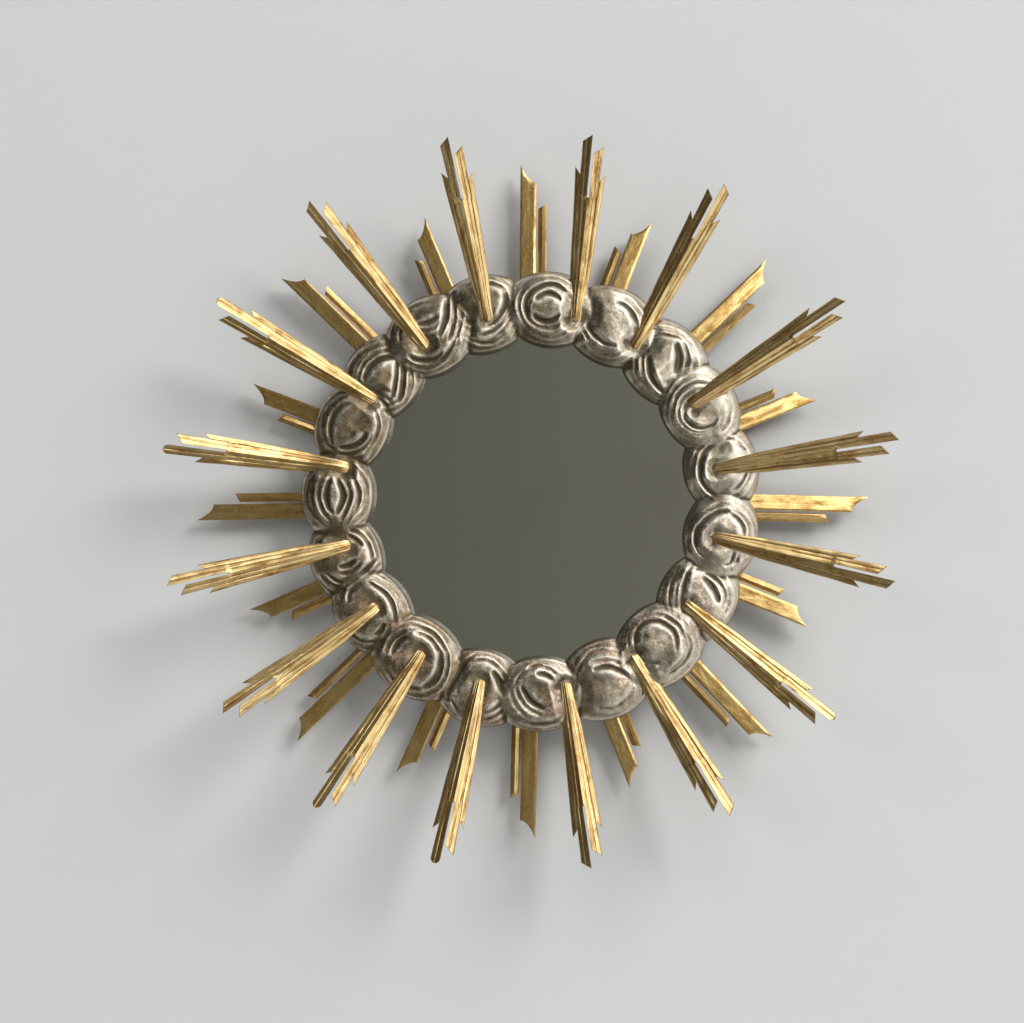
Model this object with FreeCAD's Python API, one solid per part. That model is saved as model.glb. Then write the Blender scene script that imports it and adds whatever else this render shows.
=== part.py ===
import FreeCAD, Part
import math
import os

from FreeCAD import Vector

# Round sunburst wall mirror: a carved ring of clouds round a plain mirror glass, forked and reeded rays
# let into the clouds, and pairs of flat rays held behind the ring.
# Millimetres. +Z is up and the front looks towards -Y. The wall is the plane y = 0, the origin is the
# centre of the mirror on the wall, and a depth is the distance in front of the wall.
# Angles are in degrees, clockwise from straight up, as seen from the front.

# Carved ring of clouds, set out by hand, so its angles are a little uneven
cloud_circle_radius = 242.0
cloud_radius = 46.0
cloud_angles = [6, 25, 44, 61, 80, 100, 120, 138, 157, 177, 195, 216, 235, 253, 272, 293, 310, 329, 346]
cloud_wall_height = 19.0
cloud_crest_height = 47.0
outer_groove_radius = 34.0
outer_groove_height = 34.0
inner_groove_radius = 22.0
inner_groove_height = 41.5
roll_swell = 2.6
web_width = 61.0
web_edge_height = 15.0
web_crest_height = 26.0

# Glass and the panel behind it, in a rebate at the back of the carved ring
rebate_width = 11.0
glass_thickness = 4.0
panel_thickness = 6.0
glass_edge_clearance = 1.0

# Backing ring, the wooden ring that stands on the wall and carries the flat rays.
# It starts outside the swing of the turn buttons and is a little wider than the keyhole plate.
backing_thickness = 20.0
backing_margin = 2.5

# Forked rays: the seat is where the ridge of the ray sinks into the cloud.
# Each entry gives the seat's angle, the tip's angle, the side of the longest prong and how it ends.
ray_seat_inset = 8.0
ray_reach = 213.0
ray_tilt = 14.0
ray_root_width = 20.0
ray_tip_width = 42.0
ray_embedded_length = 8.0
ray_edge_height = 4.5
ray_ridge_height = 10.5
ray_centre_height = 8.5
ray_outer_reed_height = 7.0
ray_outer_groove_height = 5.6
ray_ridge_share = 0.30
ray_outer_groove_share = 0.62
ray_outer_reed_share = 0.78
ray_slot_width = 3.4
ray_slot_length = 78.0
ray_second_prong_setback = 14.0
ray_long_side_setback = 41.0
ray_short_side_setback = 48.0
ray_prong_slant = 9.0
ray_bed_overrun = 21.0
ray_peg_radius = 4.0
ray_peg_place = 5.0
ray_peg_in_ray = 4.0
ray_peg_cover = 10.0
ray_angles_and_ends = [
    (14.0, 10.2, "left", "slanted"),
    (34.0, 31.4, "right", "slanted"),
    (59.0, 58.0, "left", "slanted"),
    (80.0, 80.8, "left", "slanted"),
    (101.0, 102.0, "right", "slanted"),
    (123.5, 126.2, "left", "round"),
    (146.5, 147.6, "left", "slanted"),
    (169.0, 170.0, "right", "slanted"),
    (195.5, 193.6, "right", "round"),
    (215.5, 214.0, "right", "round"),
    (235.5, 235.0, "right", "slanted"),
    (256.5, 256.6, "right", "slanted"),
    (280.5, 279.2, "left", "round"),
    (303.0, 302.0, "right", "round"),
    (326.0, 324.2, "left", "slanted"),
    (347.0, 347.8, "left", "slanted"),
]

# Flat rays in pairs behind the ring, every other pair shorter and the other way round
pair_angles = [0.5, 21, 46.5, 68, 91.5, 112, 136.5, 158.5, 181.5, 204, 226.5, 246.5, 269, 290.5, 314, 337]
flat_ray_thickness = 6.0
wide_ray_width = 20.0
narrow_ray_width = 11.0
pair_gap = 2.5
long_wide_reach = 157.0
long_narrow_reach = 108.0
short_wide_reach = 115.0
short_narrow_reach = 71.0
wide_ray_end_slant = 22.0
wide_ray_end_hollow = 3.5
narrow_ray_end_slant = 6.0
narrow_ray_edge_thickness = 3.5
flat_ray_root_setback = 1.0

# Turn buttons that hold the panel in its rebate
button_count = 4
button_first_angle = 45.0
button_pivot_inset = 9.5
button_overlap = 8.5
button_room = 5.0
button_width = 12.0
button_thickness = 3.0
button_screw_radius = 2.0
button_screw_length = 11.0
button_screw_head_radius = 4.0
button_screw_head_height = 2.2

# Screws that pull the backing ring against the carved ring
backing_screw_count = 8
backing_screw_radius = 2.0
backing_screw_bite = 15.0
backing_screw_head_radius = 4.2
backing_screw_head_sink = 0.8

# Keyhole plate at the top of the backing ring
plate_width = 52.0
plate_height = 20.0
plate_thickness = 2.0
plate_sink = 0.3
keyhole_entry_radius = 4.5
keyhole_entry_drop = 3.5
keyhole_slot_width = 4.6
keyhole_slot_rise = 4.0
keyhole_pocket_margin = 0.9
keyhole_pocket_depth = 8.5
plate_screw_spacing = 38.0
plate_screw_radius = 1.7
plate_screw_head_radius = 3.3
plate_screw_length = 12.0

# Clearances
seat_clearance = 0.15
screw_clearance = 0.05
moving_clearance = 0.3

# Places that follow from the sizes above
ring_back = backing_thickness
glass_front = ring_back + panel_thickness + glass_thickness
web_inner_radius = cloud_circle_radius - web_width / 2
rebate_radius = web_inner_radius + rebate_width
glass_radius = rebate_radius - glass_edge_clearance
button_pivot_radius = rebate_radius + button_pivot_inset
button_reach = button_pivot_inset + button_overlap
backing_inner_radius = button_pivot_radius + button_width / 2 + button_room
backing_width = plate_height + 2 * backing_margin
backing_outer_radius = backing_inner_radius + backing_width
backing_middle_radius = backing_inner_radius + backing_width / 2
backing_screw_length = backing_thickness - backing_screw_head_sink + backing_screw_bite
ray_seat_radius = cloud_circle_radius - ray_seat_inset
ray_tip_radius = cloud_circle_radius + ray_reach
ray_bed_length = ray_seat_inset + cloud_radius + ray_bed_overrun
ray_peg_depth = ring_back + ray_peg_cover
flat_ray_back = backing_thickness - flat_ray_thickness
pair_width = wide_ray_width + pair_gap + narrow_ray_width
depth_axis = Vector(0, -1, 0)
beyond = 2 * ray_tip_radius


def place(radius, degrees, depth):
    """A point at a radius and clock angle from the middle, at a depth in front of the wall."""
    turn = math.radians(degrees)
    return Vector(radius * math.sin(turn), -depth, radius * math.cos(turn))


def turned(shape, degrees):
    """The shape turned clockwise about the middle of the mirror."""
    shape.rotate(Vector(0, 0, 0), Vector(0, 1, 0), degrees)
    return shape


def disc(radius, near_wall, far, centre):
    """A round bar along the depth, standing over a centre in the plane of the wall."""
    foot = Vector(centre.x, -near_wall, centre.z)
    return Part.makeCylinder(radius, far - near_wall, foot, depth_axis)


def slab(outline, near_wall, far):
    """A flat piece with its outline drawn in the plane of the wall."""
    face = Part.Face(outline)
    face.translate(depth_axis * near_wall)
    return face.extrude(depth_axis * (far - near_wall))


def polygon(points):
    return Part.makePolygon(points + [points[0]])


def lines_through(points):
    return [Part.makeLine(first, second) for first, second in zip(points, points[1:])]


def box_at(left, right, low, high, near_wall, far):
    corners = [Vector(left, 0, low), Vector(right, 0, low), Vector(right, 0, high), Vector(left, 0, high)]
    return slab(polygon(corners), near_wall, far)


def swollen(start, end, swell):
    """An arc between two points of a turning profile, swollen forwards and outwards."""
    middle = (start + end) * 0.5
    across = end - start
    outwards = Vector(-across.y, across.x, 0)
    if outwards.y > 0:
        outwards = outwards * -1
    outwards.normalize()
    return Part.Arc(start, middle + outwards * swell, end).toShape()


def capped(start, crest):
    """The arc of a spherical cap, from its rim to its crest on the turning axis."""
    rise = start.y - crest.y
    cap_radius = (start.x ** 2 + rise ** 2) / (2 * rise)
    half_turn = math.asin(start.x / cap_radius) / 2
    middle = Vector(cap_radius * math.sin(half_turn), crest.y + cap_radius * (1 - math.cos(half_turn)), 0)
    return Part.Arc(start, middle, crest).toShape()


def profile_point(radius, height):
    """A point of a turned profile, at a height above the flat back of the carved ring."""
    return Vector(radius, -(ring_back + height), 0)


def turned_solid(edges):
    face = Part.Face(Part.Wire(edges))
    return face.revolve(Vector(0, 0, 0), Vector(0, 1, 0), 360)


def one_cloud():
    """A domed boss with two swollen rolls round a smooth pebble."""
    back_middle = profile_point(0, 0)
    back_edge = profile_point(cloud_radius, 0)
    wall_top = profile_point(cloud_radius, cloud_wall_height)
    outer_groove = profile_point(outer_groove_radius, outer_groove_height)
    inner_groove = profile_point(inner_groove_radius, inner_groove_height)
    crest = profile_point(0, cloud_crest_height)
    return turned_solid([
        Part.makeLine(back_middle, back_edge),
        Part.makeLine(back_edge, wall_top),
        swollen(wall_top, outer_groove, roll_swell),
        swollen(outer_groove, inner_groove, roll_swell),
        capped(inner_groove, crest),
        Part.makeLine(crest, back_middle),
    ])


def web_under_clouds():
    """The rounded band that joins the clouds in the valleys between them."""
    inner = web_inner_radius
    outer = inner + web_width
    inner_edge = profile_point(inner, web_edge_height)
    outer_edge = profile_point(outer, web_edge_height)
    crest = profile_point(cloud_circle_radius, web_crest_height)
    return turned_solid([
        Part.makeLine(profile_point(inner, 0), profile_point(outer, 0)),
        Part.makeLine(profile_point(outer, 0), outer_edge),
        Part.Arc(outer_edge, crest, inner_edge).toShape(),
        Part.makeLine(inner_edge, profile_point(inner, 0)),
    ])


def carved_blank():
    """The ring of clouds with the rebate for the glass, before anything is let into it."""
    clouds = []
    for degrees in cloud_angles:
        cloud = one_cloud()
        cloud.translate(place(cloud_circle_radius, degrees, 0))
        clouds.append(cloud)
    blank = web_under_clouds().multiFuse(clouds)
    rebate = disc(rebate_radius, 0, glass_front, Vector(0, 0, 0))
    return blank.cut(rebate)


def front_depth(blank, spot):
    """How far the front of the carved ring stands before the wall over a spot."""
    line = Part.makeLine(Vector(spot.x, 0, spot.z), Vector(spot.x, -beyond, spot.z))
    return -blank.common(line).BoundBox.YMin


class Ray:
    """Where one forked ray stands: along its length, to its left, and out of its flat underside."""

    def __init__(self, blank, seat_angle, tip_angle, side, end):
        seat = place(ray_seat_radius, seat_angle, 0)
        reach = place(ray_tip_radius, tip_angle, 0) - seat
        tilt = math.radians(ray_tilt)
        outwards = Vector(reach)
        outwards.normalize()
        self.length = reach.Length / math.cos(tilt)
        self.along = outwards * math.cos(tilt) + depth_axis * math.sin(tilt)
        self.lift = depth_axis * math.cos(tilt) - outwards * math.sin(tilt)
        self.left = self.lift.cross(self.along)
        ridge_foot = seat + depth_axis * front_depth(blank, seat)
        self.foot = ridge_foot - self.lift * ray_ridge_height
        self.side = 1 if side == "left" else -1
        self.end = end

    def half_width(self, distance):
        """Half the width of the ray at a distance from its seat, before its prongs end."""
        return (ray_root_width + (ray_tip_width - ray_root_width) * distance / self.length) / 2

    def placed(self, shape):
        frame = FreeCAD.Matrix(
            self.along.x, self.left.x, self.lift.x, self.foot.x,
            self.along.y, self.left.y, self.lift.y, self.foot.y,
            self.along.z, self.left.z, self.lift.z, self.foot.z,
            0, 0, 0, 1)
        shape.Placement = FreeCAD.Placement(frame)
        return shape

    def section(self, distance, crown, margin):
        """A closed section across the ray. The crown lists a share of the half width and a height."""
        half = self.half_width(distance) + margin
        points = [Vector(distance, half, -margin)]
        for across, height in crown:
            points.append(Vector(distance, half * across, height + margin))
        points.append(Vector(distance, -half, -margin))
        return polygon(points)

    def bar(self, start, end, crown, margin):
        sections = [self.section(start, crown, margin), self.section(end, crown, margin)]
        return Part.makeLoft(sections, True, True)

    def spot(self, setback, across):
        """A point of the plan: a setback from the tip, and a share of the half width to the long side."""
        distance = self.length - setback
        return Vector(distance, self.side * across * self.half_width(distance), 0)

    def slot_edge(self, setback, sign):
        return Vector(self.length - setback, sign * self.side * ray_slot_width / 2, 0)

    def plan(self):
        """The forked outline: a short prong, the longest, a slot, the second, and a short prong."""
        split = ray_outer_groove_share
        root = self.length + ray_embedded_length
        notch = self.spot(ray_long_side_setback + ray_prong_slant, split)
        tip_inside = self.slot_edge(0, 1)
        tip_outside = self.spot(0, split)
        if self.end == "round":
            drop = Vector(-abs(tip_outside.y - tip_inside.y) / 2, 0, 0)
            shoulder = tip_outside + drop
            tip_start = tip_inside + drop
            tip = Part.Arc(shoulder, (tip_inside + tip_outside) * 0.5, tip_start).toShape()
        else:
            shoulder = self.spot(ray_prong_slant, split)
            tip_start = tip_inside
            tip = Part.makeLine(shoulder, tip_start)
        slot_long = self.slot_edge(ray_slot_length, 1)
        slot_short = self.slot_edge(ray_slot_length, -1)
        slot_end = (slot_long + slot_short) * 0.5 - Vector(ray_slot_width / 2, 0, 0)
        long_side = [self.spot(root, 1), self.spot(ray_long_side_setback, 1), notch, shoulder]
        short_side = [
            slot_short,
            self.slot_edge(ray_second_prong_setback + ray_prong_slant, -1),
            self.spot(ray_second_prong_setback, -split),
            self.spot(ray_short_side_setback + ray_prong_slant, -split),
            self.spot(ray_short_side_setback, -1),
            self.spot(root, -1),
            self.spot(root, 1),
        ]
        edges = lines_through(long_side)
        edges += [tip, Part.makeLine(tip_start, slot_long)]
        edges.append(Part.Arc(slot_long, slot_end, slot_short).toShape())
        edges += lines_through(short_side)
        return Part.Wire(edges)

    def peg_spot(self):
        return self.foot + self.along * ray_peg_place

    def solid(self):
        reeds = [(1, ray_edge_height), (ray_outer_reed_share, ray_outer_reed_height),
                 (ray_outer_groove_share, ray_outer_groove_height), (ray_ridge_share, ray_ridge_height)]
        crown = reeds + [(0, ray_centre_height)] + [(-across, height) for across, height in reversed(reeds)]
        bar = self.bar(-ray_embedded_length, self.length, crown, 0)
        plan = Part.Face(self.plan())
        plan.translate(Vector(0, 0, -ray_ridge_height))
        blade = self.placed(bar.common(plan.extrude(Vector(0, 0, 3 * ray_ridge_height))))
        spot = self.peg_spot()
        peg = disc(ray_peg_radius, ray_peg_depth, -spot.y + ray_peg_in_ray, spot)
        return blade.fuse(peg).removeSplitter()

    def pocket(self):
        """The bed cut for the ray in the clouds, open to the front, with the blind hole for its peg."""
        crown = [(1, beyond), (-1, beyond)]
        bed = self.bar(-ray_embedded_length - seat_clearance, ray_bed_length, crown, seat_clearance)
        spot = self.peg_spot()
        hole = disc(ray_peg_radius + seat_clearance, ray_peg_depth - seat_clearance, -spot.y + ray_peg_in_ray, spot)
        return self.placed(bed).fuse(hole)


def pair_places(number):
    """The side of the wide ray of a pair, and how far its wide and narrow rays reach."""
    if number % 2 == 0:
        side, wide_reach, narrow_reach = -1, long_wide_reach, long_narrow_reach
    else:
        side, wide_reach, narrow_reach = 1, short_wide_reach, short_narrow_reach
    return side, backing_outer_radius + wide_reach, backing_outer_radius + narrow_reach


def flat_ray_root():
    return backing_inner_radius + flat_ray_root_setback


def wide_ray(number):
    """A flat ray whose end is hollowed to one sharp corner."""
    side, tip, _ = pair_places(number)
    outer = side * pair_width / 2
    inner = outer - side * wide_ray_width
    point = Vector(outer, 0, tip)
    heel = Vector(inner, 0, tip - wide_ray_end_slant)
    chord = point - heel
    hollow = Vector(side * chord.z, 0, -side * chord.x)
    if hollow.z > 0:
        hollow = hollow * -1
    hollow.normalize()
    middle = (point + heel) * 0.5 + hollow * wide_ray_end_hollow
    root = flat_ray_root()
    outline = Part.Wire([
        Part.makeLine(Vector(outer, 0, root), Vector(inner, 0, root)),
        Part.makeLine(Vector(inner, 0, root), heel),
        Part.Arc(heel, middle, point).toShape(),
        Part.makeLine(point, Vector(outer, 0, root)),
    ])
    return turned(slab(outline, flat_ray_back, backing_thickness), pair_angles[number])


def narrow_ray(number):
    """A ridged ray beside the wide one, with a slanting end."""
    side, _, tip = pair_places(number)
    outer = -side * pair_width / 2
    inner = outer + side * narrow_ray_width
    root = flat_ray_root()
    edge = flat_ray_back + narrow_ray_edge_thickness
    section = polygon([
        Vector(outer, -flat_ray_back, root),
        Vector(inner, -flat_ray_back, root),
        Vector(inner, -edge, root),
        Vector((outer + inner) / 2, -backing_thickness, root),
        Vector(outer, -edge, root),
    ])
    bar = Part.Face(section).extrude(Vector(0, 0, tip - root))
    plan = polygon([
        Vector(outer, 0, root),
        Vector(inner, 0, root),
        Vector(inner, 0, tip - narrow_ray_end_slant),
        Vector(outer, 0, tip),
    ])
    return turned(bar.common(slab(plan, 0, beyond)), pair_angles[number])


def pair_housing(degrees):
    """The channel across the front of the backing ring for one pair of flat rays."""
    half = pair_width / 2 + seat_clearance
    channel = box_at(-half, half, backing_inner_radius - backing_width, backing_outer_radius + backing_width,
                     flat_ray_back, beyond)
    return turned(channel, degrees)


def countersunk_screw(radius, head_radius, length, sink, centre, margin):
    """A countersunk screw driven forwards from the back. The margin makes its hole."""
    head_height = head_radius - radius
    head_foot = Vector(centre.x, -sink, centre.z)
    head = Part.makeCone(head_radius + margin, radius + margin, head_height, head_foot, depth_axis)
    shank = disc(radius + margin, sink + head_height, sink + length - radius + margin, centre)
    point_foot = Vector(centre.x, -(sink + length - radius + margin), centre.z)
    point = Part.makeCone(radius + margin, radius / 4, radius, point_foot, depth_axis)
    screw = head.fuse([shank, point])
    if margin > 0:
        screw = screw.fuse(disc(head_radius + margin, -beyond, sink, centre))
    return screw.removeSplitter()


def backing_screw_places():
    """Half way between the flat rays, in every other gap."""
    step = len(pair_angles) // backing_screw_count
    places = []
    for first in range(0, len(pair_angles), step):
        middle = (pair_angles[first] + pair_angles[first + 1]) / 2
        places.append(place(backing_middle_radius, middle, 0))
    return places


def backing_screws(margin):
    return [countersunk_screw(backing_screw_radius, backing_screw_head_radius, backing_screw_length,
                              backing_screw_head_sink, centre, margin) for centre in backing_screw_places()]


def plate_screws(margin):
    half = plate_screw_spacing / 2
    return [countersunk_screw(plate_screw_radius, plate_screw_head_radius, plate_screw_length, plate_sink,
                              Vector(across, 0, backing_middle_radius), margin) for across in (-half, half)]


def keyhole_entry():
    return Vector(0, 0, backing_middle_radius - keyhole_entry_drop)


def keyhole_top():
    return Vector(0, 0, backing_middle_radius + keyhole_slot_rise)


def keyhole_plate():
    """A plate with a round entry for a screw head and a slot above it for the screw's neck."""
    low = backing_middle_radius - plate_height / 2
    plate = box_at(-plate_width / 2, plate_width / 2, low, low + plate_height,
                   plate_sink, plate_sink + plate_thickness)
    entry = keyhole_entry()
    slot_end = keyhole_top()
    half = keyhole_slot_width / 2
    plate = plate.cut([
        disc(keyhole_entry_radius, 0, beyond, entry),
        disc(half, 0, beyond, slot_end),
        box_at(-half, half, entry.z, slot_end.z, 0, beyond),
    ])
    return plate.cut(plate_screws(screw_clearance))


def keyhole_recess():
    """The seat for the plate in the backing ring, and the pocket behind its keyhole."""
    low = backing_middle_radius - plate_height / 2 - seat_clearance
    high = backing_middle_radius + plate_height / 2 + seat_clearance
    half = plate_width / 2 + seat_clearance
    seat = box_at(-half, half, low, high, -beyond, plate_sink + plate_thickness)
    head_room = keyhole_entry_radius + keyhole_pocket_margin
    pocket = box_at(-head_room, head_room, keyhole_entry().z - head_room, keyhole_top().z + head_room,
                    0, plate_sink + plate_thickness + keyhole_pocket_depth)
    return seat.fuse(pocket)


def button_angles():
    return [button_first_angle + step * 360 / button_count for step in range(button_count)]


def button_front():
    return ring_back - moving_clearance


def turn_button(degrees):
    """An oblong button turning on a screw at its outer end, with its other end over the panel."""
    half = button_width / 2
    pivot = Vector(0, 0, button_pivot_radius)
    far = Vector(0, 0, button_pivot_radius - button_reach)
    outline = Part.Wire([
        Part.Arc(pivot + Vector(-half, 0, 0), pivot + Vector(0, 0, half), pivot + Vector(half, 0, 0)).toShape(),
        Part.makeLine(pivot + Vector(half, 0, 0), far + Vector(half, 0, 0)),
        Part.Arc(far + Vector(half, 0, 0), far + Vector(0, 0, -half), far + Vector(-half, 0, 0)).toShape(),
        Part.makeLine(far + Vector(-half, 0, 0), pivot + Vector(-half, 0, 0)),
    ])
    back = button_front() - button_thickness
    button = slab(outline, back, button_front())
    button = button.cut(disc(button_screw_radius + screw_clearance, 0, ring_back, pivot))
    return turned(button, degrees)


def button_screw(degrees, margin):
    """A round-headed screw that a button turns on."""
    centre = place(button_pivot_radius, degrees, 0)
    head_front = button_front() - button_thickness - moving_clearance
    head = disc(button_screw_head_radius, head_front - button_screw_head_height, head_front, centre)
    shank = disc(button_screw_radius + margin, head_front, ring_back + button_screw_length + margin, centre)
    return head.fuse(shank).removeSplitter()


def backing_ring():
    """The wooden ring on the wall, with a channel for each pair of flat rays and the keyhole recess."""
    centre = Vector(0, 0, 0)
    ring = disc(backing_outer_radius, 0, backing_thickness, centre)
    ring = ring.cut(disc(backing_inner_radius, 0, backing_thickness, centre))
    cuts = [pair_housing(degrees) for degrees in pair_angles]
    cuts += backing_screws(screw_clearance)
    cuts += plate_screws(screw_clearance)
    cuts.append(keyhole_recess())
    return ring.cut(cuts)


def group(solids):
    return Part.makeCompound(solids)


def save(shape, name):
    shape.exportStep("parts/" + name + ".step")


def main():
    os.makedirs("parts", exist_ok=True)
    centre = Vector(0, 0, 0)
    blank = carved_blank()
    forked_rays = [Ray(blank, *ray) for ray in ray_angles_and_ends]
    cuts = [ray.pocket() for ray in forked_rays]
    cuts += backing_screws(screw_clearance)
    cuts += [button_screw(degrees, screw_clearance) for degrees in button_angles()]
    ring = blank
    for cut in cuts:
        ring = ring.cut(cut)
    save(ring, "cloud_ring")
    for number, ray in enumerate(forked_rays, 1):
        save(ray.solid(), f"ray_bundle_{number:02d}")
    for number in range(len(pair_angles)):
        save(wide_ray(number), f"wide_ray_{number + 1:02d}")
        save(narrow_ray(number), f"narrow_ray_{number + 1:02d}")
    save(disc(glass_radius, ring_back + panel_thickness, glass_front, centre), "mirror_glass")
    save(disc(glass_radius, ring_back, ring_back + panel_thickness, centre), "back_panel")
    save(backing_ring(), "backing_ring")
    save(group(backing_screws(0)), "backing_screws")
    save(keyhole_plate(), "keyhole_plate")
    save(group(plate_screws(0)), "keyhole_screws")
    for number, degrees in enumerate(button_angles(), 1):
        save(turn_button(degrees), f"turn_button_{number}")
    save(group([button_screw(degrees, 0) for degrees in button_angles()]), "turn_button_screws")


main()
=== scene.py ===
import math

import bmesh
import bpy
import numpy as np
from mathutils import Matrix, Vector, noise


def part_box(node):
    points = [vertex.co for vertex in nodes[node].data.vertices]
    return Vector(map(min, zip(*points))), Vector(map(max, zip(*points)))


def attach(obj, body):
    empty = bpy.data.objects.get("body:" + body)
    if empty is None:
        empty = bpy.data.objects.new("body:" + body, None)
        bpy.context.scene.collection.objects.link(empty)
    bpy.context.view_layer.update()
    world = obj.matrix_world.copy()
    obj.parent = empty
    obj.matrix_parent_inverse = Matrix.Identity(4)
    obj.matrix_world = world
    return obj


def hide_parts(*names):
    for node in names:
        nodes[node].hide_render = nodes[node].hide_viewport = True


# The looks of a round sunburst wall mirror: a carved ring of clouds in aged silver leaf, forked and reeded
# rays and flat laths in worn gold leaf, a mirror glass, and the plain woodwork of its back.
# Sizes are in millimetres and become metres where a mesh is made. +Z is up, the front looks towards -Y and
# the wall is the plane y = 0. A depth is the distance in front of the wall, and an angle is in degrees,
# clockwise from straight up, as seen from the front.

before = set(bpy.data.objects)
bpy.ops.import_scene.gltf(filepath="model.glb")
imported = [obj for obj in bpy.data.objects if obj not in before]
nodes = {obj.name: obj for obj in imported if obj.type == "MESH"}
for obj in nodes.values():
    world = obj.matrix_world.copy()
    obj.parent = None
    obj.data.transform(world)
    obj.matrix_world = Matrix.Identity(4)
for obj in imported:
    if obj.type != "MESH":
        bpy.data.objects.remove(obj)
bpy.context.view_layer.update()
millimetre = 0.001
sharp_edge = 40.0


def node_depths(name):
    """How far the back and the front of a node stand before the wall."""
    low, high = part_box(name)
    return -high.y / millimetre, -low.y / millimetre


# Carved ring
cloud_circle = 242.0
cloud_angles = [6, 25, 44, 61, 80, 100, 120, 138, 157, 177, 195, 216, 235, 253, 272, 293, 310, 329, 346]
cloud_radii = [47, 49, 50, 48, 47, 47, 49, 50, 50, 47, 48, 50, 47, 46, 46, 47, 48, 49, 49]
cloud_leads = [1.0, -0.4, -0.9, 1.2, -0.3, 0.6, -0.5, 1.0, -0.8, 0.5,
               -0.6, 0.8, 0.2, -0.6, 0.7, 0.0, -0.8, 0.7, -0.5]
cloud_breadth = 1.25
cloud_rim_height = 26.0
cloud_crest_height = 44.0
cloud_squareness = 5.0
cloud_roll = 0.7
gouge_spread = 1.5
gouge_bite = 1.3
gouge_bluntness = 0.55
gouge_end_width = 0.35
sweep_spacing = 8.0
sweep_shares = [1.0, 0.6, 0.3]
lip_lines = [(0.76, 1.5), (0.90, 1.1)]
lip_line_from = 112.0
lip_line_to = 248.0
lip_line_width = 2.6
rim_slack = 0.01
rim_reach = 6.0
overlap_share = 0.88
tuck_reach = 13.0
tuck_depth = 3.0
# How dark the hollows, cuts and creases are painted: soiling together with painted shade.
hollow_reach = 4
hollow_grime_and_shade = 0.8
ridge_grime_and_shade = 0.5
grime_and_shade_depth = 5.0
crease_height = 1.5
crease_grime_and_shade = 0.3
valley_fill = 1.2
valley_reach = 5.0
web_inner_radius = 211.5
web_outer_radius = 272.5
web_edge_height = 12.0
web_crest_height = 26.0
rebate_radius = 222.5
lip_undercut = 3.5
# A painted shadow along the inner lip over the glass: on the first rows of the lip and on its inner wall.
lip_painted_shadow = [1.0, 0.75, 0.4]
lip_wall_painted_shadow = 6.0
carving_seed = 4
wander_pitch = 17.0
wander_reach = 1.3
swell_pitch = 30.0
swell_height = 1.8
hewn_pitch = 9.0
hewn_height = 0.35
ring_columns = 1240
ring_rows = 64
ring_even_share = 0.45
ring_sharp_edge = 70.0

# Forked rays
ray_seat_radius = 234.0
ray_tip_radius = 455.0
ray_tilt = 14.0
ray_root_width = 20.0
ray_tip_width = 42.0
ray_tip_wear = 0.3
ray_ridge_height = 10.5
ray_slot_width = 3.4
ray_slot_length = 78.0
ray_second_prong_setback = 14.0
ray_long_side_setback = 41.0
ray_short_side_setback = 48.0
ray_prong_slant = 9.0
ray_split_share = 0.62
ray_root_reach = 60.0
ray_root_slimness = 0.28
ray_root_fullness = 0.7
ray_root_lift = 0.75
ray_nose_start = -6.0
ray_nose_length = 9.0
ray_nose_narrowing = 0.55
ray_nose_drop = 0.35
bed_sink = 2.8
bed_radius = 7.0
bed_reach = 60.0
bed_rise = 0.05
bed_softness = 5.0
ray_nose_rows = [0.0, 0.006, 0.014, 0.024, 0.036, 0.05]
ray_body_start = 0.07
ray_body_rows = 38
ray_slot_rows = [0.0, 0.06, 0.16, 0.30, 0.44, 0.58, 0.72, 0.86, 0.96]
ray_prong_rows = [0.0, 0.03, 0.12, 0.26, 0.40, 0.54, 0.68, 0.80, 0.90, 0.975, 1.0]
# The unevenness of a ray's width and height: by how much, its pitch, its spread and its seed
ray_width_drift = (0.5, 34.0, 3.0, 4)
ray_fine_drift = (0.30, 16.0, 1.7, 9)
ray_slow_drift = (0.35, 60.0, 4.1, 2)
ray_seed_step = 31.7
ray_grain_step = (0.61, 0.23)
# Half of a ray's section, from its middle line to its edge: the share of the width, the height, and how far
# it is worn, which also paints shade in the grooves
ray_crown = [(0.0, 10.3, 0.2), (0.04, 10.1, 0.0), (0.16, 9.1, 0.0), (0.29, 8.0, 0.05), (0.32, 7.5, 0.4),
             (0.35, 7.6, 0.1), (0.45, 6.9, 0.0), (0.56, 6.1, 0.05), (0.60, 5.6, 0.5), (0.62, 4.4, 1.0),
             (0.65, 4.8, 0.4), (0.72, 4.7, 0.0), (0.82, 4.0, 0.0), (0.92, 3.2, 0.1), (0.98, 2.5, 0.4),
             (1.0, 2.1, 0.8)]
# The angles of each ray's seat and tip, the side of its longest prong and how that ends
forked_rays = [
    (14.0, 10.2, "left", "slanted"), (34.0, 31.4, "right", "slanted"), (59.0, 58.0, "left", "slanted"),
    (80.0, 80.8, "left", "slanted"), (101.0, 102.0, "right", "slanted"), (123.5, 126.2, "left", "round"),
    (146.5, 147.6, "left", "slanted"), (169.0, 170.0, "right", "slanted"), (195.5, 193.6, "right", "round"),
    (215.5, 214.0, "right", "round"), (235.5, 235.0, "right", "slanted"), (256.5, 256.6, "right", "slanted"),
    (280.5, 279.2, "left", "round"), (303.0, 302.0, "right", "round"), (326.0, 324.2, "left", "slanted"),
    (347.0, 347.8, "left", "slanted"),
]

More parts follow.
